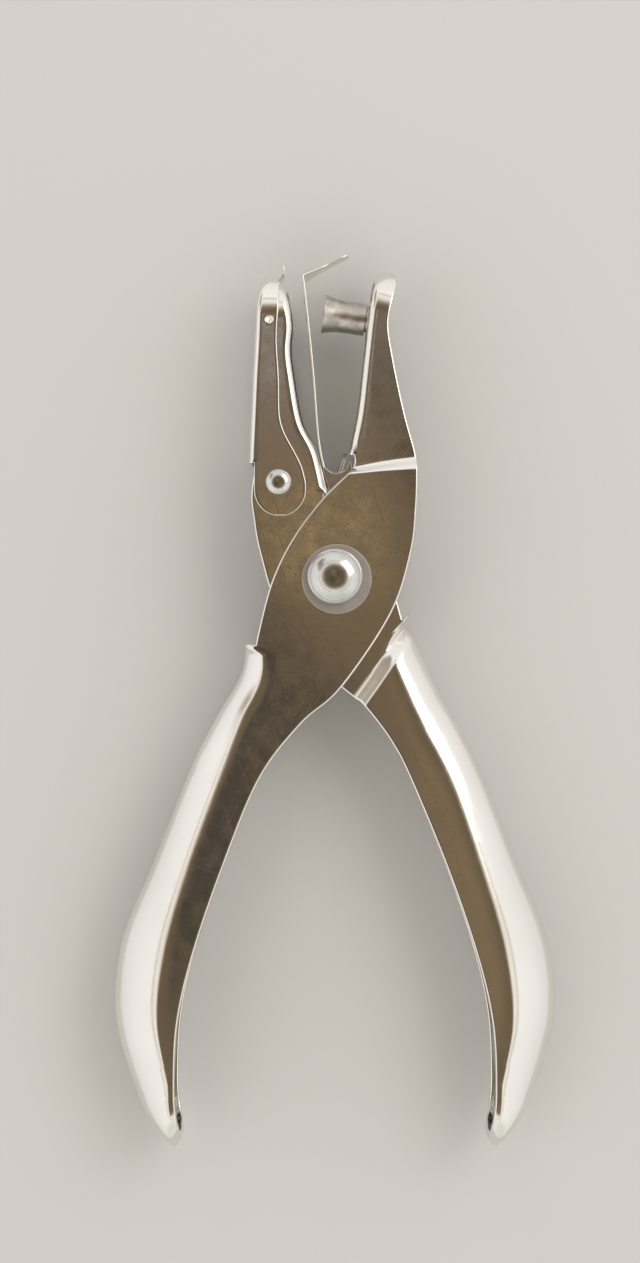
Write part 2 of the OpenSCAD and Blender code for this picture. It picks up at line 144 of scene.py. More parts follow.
class Row:
    """One cross-section of a bent channel, from its web to the free edge of its two flanges."""

    SIZES = ("web", "edge", "half", "bend", "crease")

    def __init__(self, web, edge, half, bend, crease=0.0):
        self.web = Vector(web)
        self.edge = Vector(edge)
        self.half = half
        self.bend = bend
        self.crease = crease
        self.split = None
        self.has_web = True
        self.crown = 0.0
        self.step_way = None

    def middle(self):
        return (self.web + self.edge) / 2

    def width(self):
        return (self.edge - self.web).length

    def at(self, u):
        """The point at a distance from the web, towards the free edge."""
        return self.web + (self.edge - self.web).normalized() * u

    def half_at(self, u):
        """The half width at a distance from the web, where a step may be bowed."""
        if self.step_way is None:
            return self.half
        lag = STEP_BOW * max(1 - u / self.width(), 0) ** 3
        return mixed(INNER_HALF, OUTER_HALF, eased(self.step_way - lag))


def mixed_row(a, b, f):
    return Row(*(mixed(getattr(a, size), getattr(b, size), f) for size in Row.SIZES))


def fine_rows(rows):
    """Rows about ROW_SPACING apart along the channel. A step in the half width is eased."""
    webs = [r.web for r in rows]
    edges = [r.edge for r in rows]
    bends = [r.bend for r in rows]
    fine = []
    for i, (a, b) in enumerate(zip(rows, rows[1:])):
        stretch = max((b.web - a.web).length, (b.edge - a.edge).length)
        steps = max(2, math.ceil(stretch / ROW_SPACING)) * (2 if a.half != b.half else 1)
        length = (b.middle() - a.middle()).length
        for k in range(steps):
            f = k / steps
            row = mixed_row(a, b, f)
            row.web = spline_point(webs, i, f)
            row.edge = spline_point(edges, i, f)
            row.bend = spline_point(bends, i, f)
            way = (row.middle() - a.middle()).length / length
            row.half = mixed(a.half, b.half, eased(way))
            fine.append(row)
    return fine + [rows[-1]]


def round_end(rows, end, length, fall):
    """Draws the half width in over a length at a closed end, round in a view from the side.

    The bend grows there, so that the corner of the flange is round too."""
    tip = rows[end].middle()
    for row in rows:
        d = (row.middle() - tip).length / length
        if d < 1:
            drawn = fall * (1 - math.sqrt(1 - (1 - d) ** 2))
            row.half -= drawn
            row.bend += TIP_BEND * drawn


def bow_step(rows, end):
    """Bows the step that ends at a row: beside the web it lies a little further from the jaw's tip."""
    start = rows[0]
    for row in rows:
        if row.half == INNER_HALF and row.web.y > end.web.y:
            start = row
    run = end.middle() - start.middle()
    for row in rows:
        way = (row.middle() - start.middle()).dot(run) / run.length_squared
        if -1 < way < 1 + 2 * STEP_BOW:
            row.step_way = way


def crossing(row, curve):
    """Distance from the web at which the row meets a curve."""
    along = (row.edge - row.web).normalized()
    normal = Vector((-along.y, along.x))
    for p, q in zip(curve, curve[1:]):
        a, b = (p - row.web).dot(normal), (q - row.web).dot(normal)
        if a * b <= 0 and a != b:
            u = mixed(p, q, a / (a - b)).dot(along) - row.web.dot(along)
            if -CURVE_BACK < u < row.width():
                return u
    return None


def with_rows_at(rows, heights):
    """Adds a row where the web passes each height, and drops the rows that lie too close to it."""
    for height in heights:
        for i, (a, b) in enumerate(zip(rows, rows[1:])):
            if a.web.y > height >= b.web.y:
                new = mixed_row(a, b, (a.web.y - height) / (a.web.y - b.web.y))
                before = [r for r in rows[:i + 1] if (r.web - new.web).length > ROW_ROOM]
                after = [r for r in rows[i + 1:] if (r.web - new.web).length > ROW_ROOM]
                rows = before + [new] + after
                break
    return rows


def cut_window(rows, curve, ends, growths):
    """Takes the web away between two heights, up to a curve that becomes the flanges' edge.

    The bend of the web starts small at each end of the window, and grows after BEND_HOLD."""
    cut = with_rows_at(rows, ends)
    inside = [r for r in cut if ends[1] - NEAR_ZERO <= r.web.y <= ends[0] + NEAR_ZERO]
    for row in inside:
        row.split = max(crossing(row, curve), LEAST_SPLIT)
        row.has_web = row in (inside[0], inside[-1])
    for end, growth in zip((inside[0], inside[-1]), growths):
        for row in cut:
            if row.has_web:
                away = (row.web - end.web).length
                grown = SPLIT_BEND * end.split + growth * max(away - BEND_HOLD, 0)
                row.bend = min(row.bend, grown)
                if row.crease > 0:
                    row.crown = CROWN_FALL * min(away / CROWN_RUN, 1)
    return cut


# Sheet-metal meshes

LEAST_INNER_BEND = 0.15
LEAST_FLANGE = 1.1
BEND_MARGIN = 0.05
TIGHT = 0.92
GUARD = 0.45
GUARD_SHARE = 0.45
SPLIT_SHARE = 0.12
SHOULDER_TURN = math.radians(45)
SHOULDER_TIGHT = 0.5
# A ring's points run from one free edge over the middle of the web to the other free edge
WEB_PLACE = BEND_STEPS + CROWN_STEPS + 5
RING_LAST = 2 * WEB_PLACE


def shoulder(crease):
    """A bend of width 1 that starts at a crease and turns slowly, then tightly into the web.

    Gives its points as (distance from the web, fall) and its whole fall."""
    tight_width = SHOULDER_TIGHT * (1 - math.sin(SHOULDER_TURN))
    slow = (1 - tight_width) / (math.sin(SHOULDER_TURN) - math.sin(crease))
    start = slow * (math.cos(crease) - math.cos(SHOULDER_TURN))
    points = []
    for j in range(BEND_STEPS + 1):
        f = 2 * j / BEND_STEPS
        if f <= 1:
            a = mixed(crease, SHOULDER_TURN, f)
            u = 1 - slow * (math.sin(a) - math.sin(crease))
            fall = slow * (math.cos(crease) - math.cos(a))
        else:
            a = mixed(SHOULDER_TURN, math.pi / 2, f - 1)
            u = SHOULDER_TIGHT * (1 - math.sin(a))
            fall = start + SHOULDER_TIGHT * (math.cos(SHOULDER_TURN) - math.cos(a))
        points.append((u, fall))
    return points, points[-1][1]


def round_bend():
    """A quarter-round bend of width 1."""
    turns = [math.pi / 2 * j / BEND_STEPS for j in range(BEND_STEPS + 1)]
    return [(1 - math.sin(a), 1 - math.cos(a)) for a in turns], 1


def sheet_profile(row, inset):
    """Points (distance from the web, height) from the free edge to the middle of the web.

    A flange beside a crease is a little crowned, and falls by CROWN_FALL towards the crease."""
    w = row.width()
    bend = min(row.bend, w - LEAST_FLANGE)

    def flange(u):
        crown = row.crown * max(1 - max(u - bend, 0) / CROWN_WIDTH, 0) ** 2
        return u, row.half_at(u) - inset - crown

    split = row.split if row.split is not None else mixed(bend, w, SPLIT_SHARE)
    inner_bend = max(bend - inset, LEAST_INNER_BEND)
    if row.has_web:
        split = max(split, inset + inner_bend + BEND_MARGIN)
    guard = min(GUARD, GUARD_SHARE * (w - split))
    near, far = split + guard, w - guard
    if row.step_way is None:
        far = min(far, near + CROWN_WIDTH)
    crowned = [mixed(far, near, k / (CROWN_STEPS + 1)) for k in range(1, CROWN_STEPS + 1)]
    edge = [flange(u) for u in (w, w - guard, *crowned, near, split)]
    if not row.has_web:
        return edge
    points, fall = shoulder(row.crease) if row.crease > 0 else round_bend()
    top = row.half_at(bend) - inset - row.crown
    deep = min(inner_bend, TIGHT * top / fall)
    return edge + [(inset + inner_bend * u, top - deep * z) for u, z in points] + [(inset, 0)]


def end_shift(rows, i, t, closed):
    """Moves the inside of a row off a closed end of the channel by the wall's thickness."""
    for is_closed, end, after in ((closed[0], 0, 1), (closed[1], -1, -2)):
        d = (rows[i].middle() - rows[end].middle()).length
        if is_closed and d < 2 * t:
            return (rows[after].middle() - rows[end].middle()).normalized() * (t - d / 2)
    return Vector((0, 0))


def ring_points(row, profile, shift):
    """The whole cross-section as points by place, from one flange over the web to the other."""
    ring = {}
    for k, (u, z) in enumerate(profile):
        p = row.at(u) + shift
        ring[k] = Vector((p.x, p.y, z))
        ring[RING_LAST - k] = Vector((p.x, p.y, -z))
    return ring


def sheet_mesh(rows, t, closed=(True, True)):
    """A closed sheet of thickness t along the rows, with an end wall at the closed ends."""
    bm = bmesh.new()
    skins = []
    for inset in (0, t):
        skin = []
        for i, row in enumerate(rows):
            shift = end_shift(rows, i, inset, closed)
            points = ring_points(row, sheet_profile(row, inset), shift)
            skin.append({k: bm.verts.new(p) for k, p in points.items()})
        skins.append(skin)
    outer, inner = skins

    cells = []
    for i in range(len(rows) - 1):
        for k in range(RING_LAST):
            corners = [(i, k), (i, k + 1), (i + 1, k + 1), (i + 1, k)]
            if all(place in outer[number] for number, place in corners):
                cells.append(corners)
    for end, is_closed in ((0, closed[0]), (len(rows) - 1, closed[1])):
        if is_closed:
            cells.append([(end, k) for k in range(RING_LAST + 1)])

    borders = {}
    for cell in cells:
        bm.faces.new([outer[i][k] for i, k in cell])
        bm.faces.new([inner[i][k] for i, k in reversed(cell)])
        for a, b in zip(cell, cell[1:] + cell[:1]):
            if borders.pop((b, a), None) is None and borders.pop((a, b), None) is None:
                borders[(a, b)] = True
    for a, b in borders:
        bm.faces.new([outer[b[0]][b[1]], outer[a[0]][a[1]], inner[a[0]][a[1]], inner[b[0]][b[1]]])
    bmesh.ops.remove_doubles(bm, verts=bm.verts, dist=MERGE_DISTANCE)
    bmesh.ops.recalc_face_normals(bm, faces=bm.faces)
    return bm


def strip_mesh(line, halves, t):
    """A flat strip of thickness t that follows a line, with its half width at each point."""
    bm = bmesh.new()
    line = [Vector(p) for p in line]
    rings = []
    for i, (p, half) in enumerate(zip(line, halves)):
        d = (line[min(i + 1, len(line) - 1)] - line[max(i - 1, 0)]).normalized()
        side = Vector((-d.y, d.x)) * t / 2
        corners = ((p + side, half), (p - side, half), (p - side, -half), (p + side, -half))
        rings.append([bm.verts.new((q.x, q.y, z)) for q, z in corners])
    for a, b in zip(rings, rings[1:]):
        for k in range(4):
            bm.faces.new((a[k], a[(k + 1) % 4], b[(k + 1) % 4], b[k]))
    bm.faces.new(rings[0])
    bm.faces.new(list(reversed(rings[-1])))
    bmesh.ops.recalc_face_normals(bm, faces=bm.faces)
    return bm


def plate_mesh(outline, low, high):
    """A flat plate of an outline, between two heights."""
    bm = bmesh.new()
    lower = [bm.verts.new((x, y, low)) for x, y in outline]
    upper = [bm.verts.new((x, y, high)) for x, y in outline]
    bm.faces.new(lower)
    bm.faces.new(upper)
    for i in range(len(outline)):
        j = (i + 1) % len(outline)
        bm.faces.new((lower[i], lower[j], upper[j], upper[i]))
    bmesh.ops.recalc_face_normals(bm, faces=bm.faces)
    return bm


def turned_mesh(profile, steps):
    """A body of revolution about Z. The profile is (radius, height), closed on the axis or a ring."""
    bm = bmesh.new()
    rings = []
    for r, z in profile:
        if r < NEAR_ZERO:
            rings.append([bm.verts.new((0, 0, z))])
        else:
            turn = [2 * math.pi * k / steps for k in range(steps)]
            rings.append([bm.verts.new((r * math.cos(a), r * math.sin(a), z)) for a in turn])
    on_axis = len(rings[0]) == 1
    following = rings[1:] if on_axis else rings[1:] + rings[:1]
    for a, b in zip(rings, following):
        for k in range(steps):
            n = (k + 1) % steps
            corners = [a[k % len(a)], a[n % len(a)], b[n % len(b)], b[k % len(b)]]
            face = list(dict.fromkeys(corners))
            if len(face) > 2:
                bm.faces.new(face)
    bmesh.ops.recalc_face_normals(bm, faces=bm.faces)
    return bm


def rounded_profile(corners, radii, steps=6):
    """A profile with its corners rounded, each by its own radius."""
    profile = []
    for i, corner in enumerate(corners):
        p = Vector(corner)
        r = radii[i]
        if not r:
            profile.append(tuple(p))
            continue
        before = (Vector(corners[i - 1]) - p).normalized()
        after = (Vector(corners[(i + 1) % len(corners)]) - p).normalized()
        start, end = p + before * r, p + after * r
        for k in range(steps + 1):
            f = k / steps
            profile.append(tuple(mixed(mixed(start, p, f), mixed(p, end, f), f)))
    return profile


def tube_mesh(path, r, sides):
    """One unbroken tube along a path, turned as little as it can be from ring to ring."""
    bm = bmesh.new()
    rings = []
    side = TUBE_SIDE
    last = len(path) - 1
    for i, p in enumerate(path):
        d = (path[min(i + 1, last)] - path[max(i - 1, 0)]).normalized()
        side = (side - d * side.dot(d)).normalized()
        up = d.cross(side)
        turn = [2 * math.pi * k / sides for k in range(sides)]
        rings.append([bm.verts.new(p + (side * math.cos(a) + up * math.sin(a)) * r) for a in turn])
    for a, b in zip(rings, rings[1:]):
        for k in range(sides):
            n = (k + 1) % sides
            bm.faces.new((a[k], a[n], b[n], b[k]))
    bm.faces.new(rings[0])
    bm.faces.new(list(reversed(rings[-1])))
    bmesh.ops.recalc_face_normals(bm, faces=bm.faces)
    return bm


# Objects from meshes

def scratch_object(bm):
    """A mesh in millimetres as an object that is used up by a later step."""
    mesh = bpy.data.meshes.new("scratch")
    bm.to_mesh(mesh)
    bm.free()
    obj = bpy.data.objects.new("scratch", mesh)
    bpy.context.scene.collection.objects.link(obj)
    return obj


def apply_modifiers(obj):
    depsgraph = bpy.context.evaluated_depsgraph_get()
    mesh = bpy.data.meshes.new_from_object(obj.evaluated_get(depsgraph))
    obj.modifiers.clear()
    old = obj.data
    obj.data = mesh
    bpy.data.meshes.remove(old)


def bevelled(obj, width=EDGE_ROUND):
    """Rounds the sharp outward edges of a sheet, and splits its large faces into triangles."""
    bm = bmesh.new()
    bm.from_mesh(obj.data)
    weight = bm.edges.layers.float.new("bevel_weight_edge")
    for edge in bm.edges:
        edge[weight] = float(edge.calc_face_angle_signed(0) > ROUNDED_ANGLE)
    bm.to_mesh(obj.data)
    bm.free()
    bevel = obj.modifiers.new("edge_round", "BEVEL")
    bevel.width = width
    bevel.segments = ROUND_STEPS
    bevel.limit_method = "WEIGHT"
    bevel.use_clamp_overlap = False
    triangles = obj.modifiers.new("split_faces", "TRIANGULATE")
    triangles.min_vertices = 5
    apply_modifiers(obj)
    return obj


def combined(obj, other, operation):
    """Joins another object to obj, or cuts it out of obj."""
    cut = obj.modifiers.new("cut", "BOOLEAN")
    cut.operation = operation
    cut.object = other
    cut.solver = "EXACT"
    apply_modifiers(obj)
    mesh = other.data
    bpy.data.objects.remove(other)
    bpy.data.meshes.remove(mesh)
    return obj


def bored(obj, r, matrix, length):
    """Drills obj with a cylinder about the Z axis of a matrix, centred on its origin."""
    profile = [(0, -length / 2), (r, -length / 2), (r, length / 2), (0, length / 2)]
    bm = turned_mesh(profile, BORE_STEPS)
    bm.transform(matrix)
    return combined(obj, scratch_object(bm), "DIFFERENCE")


def piece(obj, name, material, node, body):
    """Finishes a mesh: size in metres, smooth shading, material, body and the node it stands for."""
    obj.name = name
    obj.data.name = name
    obj.data.transform(Matrix.Translation((0, 0, MID_Z * MM)) @ Matrix.Scale(MM, 4))
    obj.data.materials.clear()
    obj.data.materials.append(material)
    obj.data.polygons.foreach_set("use_smooth", [True] * len(obj.data.polygons))
    obj.data.set_sharp_from_angle(angle=SHARP_ANGLE)
    normals = obj.modifiers.new("even_normals", "WEIGHTED_NORMAL")
    normals.mode = "FACE_AREA"
    normals.weight = NORMAL_WEIGHT
    normals.keep_sharp = True
    if body:
        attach(obj, body)
    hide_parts(node)
    return obj


# Materials

# Noise scales per metre, and heights of the bumps in metres
GLOSS_SCALE = 420
GLOSS_SPREAD = 0.07
GRAIN_SCALE = 3000
PIT_SCALE = 2600
WAVE_SCALE = 45
HAIRLINE_SCALE = 4200
HAIRLINE_STRETCH = 60
HAIRLINE_TURNS = (0.35, -0.5, 1.2)
FINE_HEIGHT = 0.00002
WAVE_HEIGHT = 0.0008


def metal(name, low, high, size, roughness, grain, pits, wave, scratches):
    """A plated or bare metal: a tone and gloss that vary, a grain, pits, a wavy sheet and hairlines.

    The tone varies over a size in metres. Grain, pits, wave and scratches are strengths."""
    material = bpy.data.materials.new(name)
    material.use_nodes = True
    nodes, links = material.node_tree.nodes, material.node_tree.links
    shader = nodes["Principled BSDF"]
    shader.inputs["Metallic"].default_value = 1.0
    place = nodes.new("ShaderNodeTexCoord")

    def noise(scale, detail, stretch=1, turn=0.0):
        mapping = nodes.new("ShaderNodeMapping")
        mapping.vector_type = "TEXTURE"
        mapping.inputs["Scale"].default_value = (1, stretch, 1)
        mapping.inputs["Rotation"].default_value = (0, 0, turn)
        links.new(place.outputs["Object"], mapping.inputs["Vector"])
        texture = nodes.new("ShaderNodeTexNoise")
        texture.inputs["Scale"].default_value = scale
        texture.inputs["Detail"].default_value = detail
        links.new(mapping.outputs["Vector"], texture.inputs["Vector"])
        return texture.outputs["Fac"]

    def ramp(value, stops):
        node = nodes.new("ShaderNodeValToRGB")
        for k, (position, colour) in enumerate(stops):
            element = node.color_ramp.elements[k]
            element.position = position
            element.color = (*colour, 1)
        links.new(value, node.inputs["Fac"])
        return node.outputs["Color"]

    def grey(level):
        return (level,) * 3

    def bump(height, strength, distance, before=None, sunk=False):
        node = nodes.new("ShaderNodeBump")
        node.invert = sunk
        node.inputs["Strength"].default_value = strength
        node.inputs["Distance"].default_value = distance
        links.new(height, node.inputs["Height"])
        if before:
            links.new(before, node.inputs["Normal"])
        return node.outputs["Normal"]

    tone = ramp(noise(1 / size, 3), ((0.3, low), (0.7, high)))
    gloss = ramp(noise(GLOSS_SCALE, 4), ((0.35, grey(roughness)), (0.75, grey(roughness + GLOSS_SPREAD))))
    normal = bump(noise(GRAIN_SCALE, 2), grain, FINE_HEIGHT)
    spots = ramp(noise(PIT_SCALE, 2), ((0.62, grey(0)), (0.74, grey(1))))
    normal = bump(spots, pits, FINE_HEIGHT, normal, sunk=True)
    normal = bump(noise(WAVE_SCALE, 1), wave, WAVE_HEIGHT, normal)
    for turn in HAIRLINE_TURNS if scratches else ():
        hairs = noise(HAIRLINE_SCALE, 0, HAIRLINE_STRETCH, turn)
        lines = ramp(hairs, ((0.77, grey(0)), (0.81, grey(1))))
        normal = bump(lines, scratches, FINE_HEIGHT, normal, sunk=True)
    links.new(tone, shader.inputs["Base Color"])
    links.new(gloss, shader.inputs["Roughness"])
    links.new(normal, shader.inputs["Normal"])
    return material


nickel = metal("polished_nickel", (0.81, 0.785, 0.745), (0.87, 0.85, 0.815), size=0.017,
               roughness=0.09, grain=0.1, pits=0.14, wave=0.16, scratches=0.09)
rivet_metal = metal("bright_rivet", (0.6, 0.595, 0.58), (0.72, 0.715, 0.7), size=0.003,
                    roughness=0.12, grain=0.1, pits=0.3, wave=0.03, scratches=0.0)
washer_metal = metal("dull_washer", (0.42, 0.395, 0.37), (0.5, 0.47, 0.445), size=0.003,
                     roughness=0.48, grain=0.5, pits=0.3, wave=0.05, scratches=0.0)
strip_metal = metal("spring_strip", (0.76, 0.72, 0.65), (0.84, 0.8, 0.74), size=0.01,
                    roughness=0.16, grain=0.2, pits=0.2, wave=0.06, scratches=0.05)
pin_metal = metal("hardened_pin", (0.38, 0.35, 0.315), (0.66, 0.62, 0.57), size=0.0016,
                  roughness=0.3, grain=0.6, pits=1.0, wave=0.05, scratches=0.3)
wire_metal = metal("spring_wire", (0.5, 0.49, 0.47), (0.62, 0.605, 0.58), size=0.003,
                   roughness=0.24, grain=0.3, pits=0.2, wave=0.0, scratches=0.0)


# Levers

def jaw_rows(shape, half, bend):
    """Rows along a jaw, from points with their heights as shares of the jaw's reach."""
    rows = []
    for wx, wy, ex, ey in shape:
        rows.append(Row((wx, JAW_REACH * wy), (ex, JAW_REACH * ey), half, bend))
    return rows


HANDLE_SHAPE = (
    (0.645, 0.327, 0.341, 0.353, 1.1),
    (0.82, 0.495, 0.511, 0.513, 1),
    (0.971, 0.64, 0.642, 0.663, 0.88),
    (0.995, 0.776, 0.708, 0.778, 0.63),
    (0.884, 0.915, 0.722, 0.89, 0.18),
    (0.792, 0.969, 0.712, 0.942, 0.17),
    (0.722, 1, 0.69, 0.98, 0.16))


def handle_rows(side):
    across = side * HANDLE_SPREAD
    rows = []
    for wx, wy, ex, ey, flange in HANDLE_SHAPE:
        web = (across * wx, -HANDLE_REACH * wy)
        edge = (across * ex, -HANDLE_REACH * ey)
        row = Row(web, edge, OUTER_HALF, 0, HANDLE_CREASE)
        row.bend = row.width() - HANDLE_FLANGE * flange
        rows.append(row)
    return rows


PUNCH_JAW = (
    (7.2, 1, 9.6, 0.998),
    (6.35, 0.977, 9.9, 0.964),
    (5.8, 0.94, 9.45, 0.92),
    (5.1, 0.835, 8.55, 0.825),
    (4.4, 0.705, 9.4, 0.7),
    (3.5, 0.54, 11.1, 0.535),
    (2.6, 0.445, 12.5, 0.43),
    (1.95, 0.365, 12.95, 0.389))
PUNCH_NECK = (
    (1.3, 16.5, 13.1, 17.1, OUTER_HALF, 1.5),
    (-5.5, 13.2, 12.95, 11.5, OUTER_HALF, 1.5),
    (-12, 4, 12.1, 4, OUTER_HALF, 2),
    (-14, -5.5, 8.9, -5.8, OUTER_HALF, 2, HANDLE_CREASE),
    (-14.6, -14.5, 1, -17.6, OUTER_HALF, 3.4, HANDLE_CREASE),
    (-18.6, -21.8, -5.4, -23.4, OUTER_HALF, 4.2, HANDLE_CREASE))
PUNCH_WEB_ENDS = (19.18, -10.6)
PUNCH_BEND_GROWTH = (1.2, 2)
PUNCH_EDGE = (
    (3.05, 20.2), (3, 19.2), (2.6, 17), (-1.94, 12.4),
    (-6.65, 6.1), (-10.1, -1), (-12.3, -9.4), (-12.6, -12))

DIE_JAW = (
    (-8.8, 0.974, -10.9, 0.972),
    (-7.95, 0.954, -11.25, 0.941),
    (-7.25, 0.914, -11.1, 0.896),
    (-6.62, 0.823, -11, 0.813),
    (-6.85, 0.74, -11.1, 0.735),
    (-6.4, 0.656, -11.3, 0.651),
    (-5.1, 0.506, -11.8, 0.506),
    (-2.75, 0.406, -12.4, 0.392),
    (-1.2, 0.279, -13.3, 0.274))
DIE_NECK = (
    (0.2, 10.2, -13, 9.6, INNER_HALF, JAW_BEND),
    (8.5, 7, -12, 4, INNER_HALF, 2),
    (12.8, -0.5, -9, -5.4, INNER_HALF, 2),
    (12.2, -5.2, -3, -14, INNER_HALF, 5.2),
    (11.2, -7.6, 2.5, -18.8, INNER_HALF, 5.4, HANDLE_CREASE),
    (12.7, -9.8, 4.8, -20.7, OUTER_HALF, 5.3, HANDLE_CREASE),
    (16.4, -17.8, 8.8, -26, OUTER_HALF, 5, HANDLE_CREASE))
DIE_WEB_ENDS = (13, -5.9)
DIE_BEND_GROWTH = (1.2, 3.2)
DIE_EDGE = ((-1.8, 13.4), (-1.4, 11.6), (-0.4, 10.1), (4.6, 5.4), (8.6, -0.5), (10.5, -6), (11, -8.5))


def neck_rows(shape):
    return [Row((wx, wy), (ex, ey), *sizes) for wx, wy, ex, ey, *sizes in shape]


def lever_rows(jaw, neck, side):
    rows = fine_rows(jaw_rows(jaw, INNER_HALF, JAW_BEND) + neck_rows(neck) + handle_rows(side))
    round_end(rows, 0, JAW_TIP_LEN, JAW_TIP_ROUND)
    round_end(rows, -1, HANDLE_TIP_ROUND, HANDLE_TIP_ROUND)
    return rows


def first_crossing(rows, measure):
    """The web's point where a measure of it falls below zero, from the jaw's tip on."""
    for a, b in zip(rows, rows[1:]):
        before, after = measure(a.web), measure(b.web)
        if before >= 0 > after:
            return mixed(a.web, b.web, before / (before - after))


ACROSS_PIN = Vector((math.sin(PIN_TILT), math.cos(PIN_TILT)))
ALONG_PIN = Vector((-math.cos(PIN_TILT), math.sin(PIN_TILT)))
punch_rows = lever_rows(PUNCH_JAW, PUNCH_NECK, -1)
die_rows = lever_rows(DIE_JAW, DIE_NECK, 1)
pin_root = first_crossing(punch_rows, lambda p: p.dot(ACROSS_PIN) - PIN_ARM).dot(ALONG_PIN)
pin_tip = pin_root + PIN_LEN
tip_arm = math.hypot(PIN_ARM, pin_tip)
die_face = first_crossing(die_rows, lambda p: p.length - tip_arm)
die_angle = math.atan2(-die_face.x, die_face.y)

PIN_FRAME = (Matrix.Rotation(-PIN_TILT, 4, "Z") @ Matrix.Translation((0, PIN_ARM, 0))
             @ Matrix.Rotation(-math.pi / 2, 4, "Y"))
DIE_FRAME = (Matrix.Rotation(die_angle, 4, "Z") @ Matrix.Translation((0, tip_arm, 0))
             @ Matrix.Rotation(math.pi / 2, 4, "Y"))
THROUGH = 4 * OUTER_HALF
THROUGH_WEB = 4 * SHEET


def punch_lever():
    bow_step(punch_rows, neck_rows(PUNCH_NECK)[0])
    rows = cut_window(punch_rows, spline(PUNCH_EDGE, CURVE_STEPS), PUNCH_WEB_ENDS, PUNCH_BEND_GROWTH)
    obj = bevelled(scratch_object(sheet_mesh(rows, SHEET)))
    bored(obj, PIVOT_BORE_R, Matrix.Identity(4), THROUGH)
    bored(obj, PIN_SHANK_R + FACE_CLEAR, PIN_FRAME @ Matrix.Translation((0, 0, pin_root)), THROUGH_WEB)
    return piece(obj, "punch_lever_sheet", nickel, "punch_lever", "punch_body")


def die_lever():
    rows = cut_window(die_rows, spline(DIE_EDGE, CURVE_STEPS), DIE_WEB_ENDS, DIE_BEND_GROWTH)
    obj = bevelled(scratch_object(sheet_mesh(rows, SHEET)))
    bored(obj, PIVOT_BORE_R, Matrix.Identity(4), THROUGH)
    bored(obj, DIE_R, DIE_FRAME, THROUGH_WEB)
    bored(obj, HINGE_SHANK_R + FACE_CLEAR, Matrix.Translation((*HINGE, 0)), THROUGH)
    return piece(obj, "die_lever_sheet", nickel, "die_lever", "die_body")


punch_lever()
die_lever()


# Punch pin, rivets, washer and sleeve

TURN_STEPS = 96
RIVET_R = 2.5
RIVET_HEAD_R = 4.45
DOME_H = 2.9
BACK_HEAD_H = 1.5
DOME_Z = 7.65
DOME_SQUARENESS = 2.45
WASHER_Z = 7.2
WASHER_T = 0.4
WASHER_R = 5.5
WASHER_BORE_R = 3.05
WASHER_SHIFT = Vector((0.287, -0.41, 0))
SLEEVE_R = 3.26
SLEEVE_HALF = 4.25
HINGE_HEAD_R = 2.0
HINGE_HEAD_H = 1.0
HINGE_RIM = 0.08
BACK_HEAD_ROUNDS = (0, 0.45, 0.12)
DOME_RIM = 0.12
WASHER_ROUND = 0.14
SLEEVE_ROUND = 0.12
PIN_LEAN = 0.2
PIN_HEAD_H = 0.9
PIN_HEAD_R = 2.6
PIN_HEAD_ROUNDS = (0, 0.5, 0.15)
PIN_CHAMFER = 0.12
PIN_HOLLOW = 0.5
HOLLOW_RIM = 0.25
HOLLOW_STEPS = 10
FLARE_LEN = 3.2
FLARE_STEPS = 14
CUTTING_EDGE = 0.06


def dome_profile(r, h, z, steps=20):
    """A dome from its rim at height z to the top, a little flatter on top than an ellipse."""
    turns = [math.pi / 2 * k / steps for k in range(steps + 1)]
    power = 2 / DOME_SQUARENESS
    return [(r * math.cos(a) ** power, z + h * math.sin(a) ** power) for a in turns[:-1]] + [(0, z + h)]


def punch_pin():
    seat = pin_root + PIN_LEAN
    back = pin_root - SHEET - PIN_LEAN
    top = back - PIN_HEAD_H
    head = rounded_profile([(0, top), (PIN_HEAD_R, top), (PIN_HEAD_R, back)], PIN_HEAD_ROUNDS)
    shank = [(PIN_SHANK_R, back), (PIN_SHANK_R, seat),
             (PIN_BODY_R - PIN_CHAMFER, seat), (PIN_BODY_R, seat + PIN_CHAMFER)]
    flare = []
    for k in range(FLARE_STEPS + 1):
        f = k / FLARE_STEPS
        flare.append((mixed(PIN_BODY_R, PUNCH_R, f * f), pin_tip - CUTTING_EDGE - FLARE_LEN * (1 - f)))
    tip = [(PUNCH_R, pin_tip - CUTTING_EDGE / 2), (PUNCH_R - CUTTING_EDGE, pin_tip)]
    hollow_r = PUNCH_R - HOLLOW_RIM
    hollow = []
    for k in range(HOLLOW_STEPS + 1):
        f = k / HOLLOW_STEPS
        hollow.append((hollow_r * (1 - f), pin_tip - PIN_HOLLOW * (1 - (1 - f) ** 2)))
    bm = turned_mesh(head + shank + flare + tip + hollow, TURN_STEPS)
    bm.transform(PIN_FRAME)
    obj = scratch_object(bm)
    return piece(obj, "punch_pin_turned", pin_metal, "punch_pin", "punch_body")


def main_rivet():
    low, high = -MID_Z, BACK_HEAD_H - MID_Z
    back = rounded_profile([(0, low), (RIVET_HEAD_R, low), (RIVET_HEAD_R, high)], BACK_HEAD_ROUNDS)
    shank = [(RIVET_R, high), (RIVET_R, DOME_Z)]
    rim = [(RIVET_HEAD_R - DOME_RIM, DOME_Z)]
    bm = turned_mesh(back + shank + rim + dome_profile(RIVET_HEAD_R, DOME_H, DOME_Z), TURN_STEPS)
    obj = scratch_object(bm)
    return piece(obj, "main_rivet_domed", rivet_metal, "main_rivet", "die_body")


def ring_piece(inner_r, outer_r, low, high, rounding, shift):
    corners = [(inner_r, low), (outer_r, low), (outer_r, high), (inner_r, high)]
    bm = turned_mesh(rounded_profile(corners, [rounding] * len(corners), steps=4), TURN_STEPS)
    bm.transform(Matrix.Translation(shift))
    return scratch_object(bm)


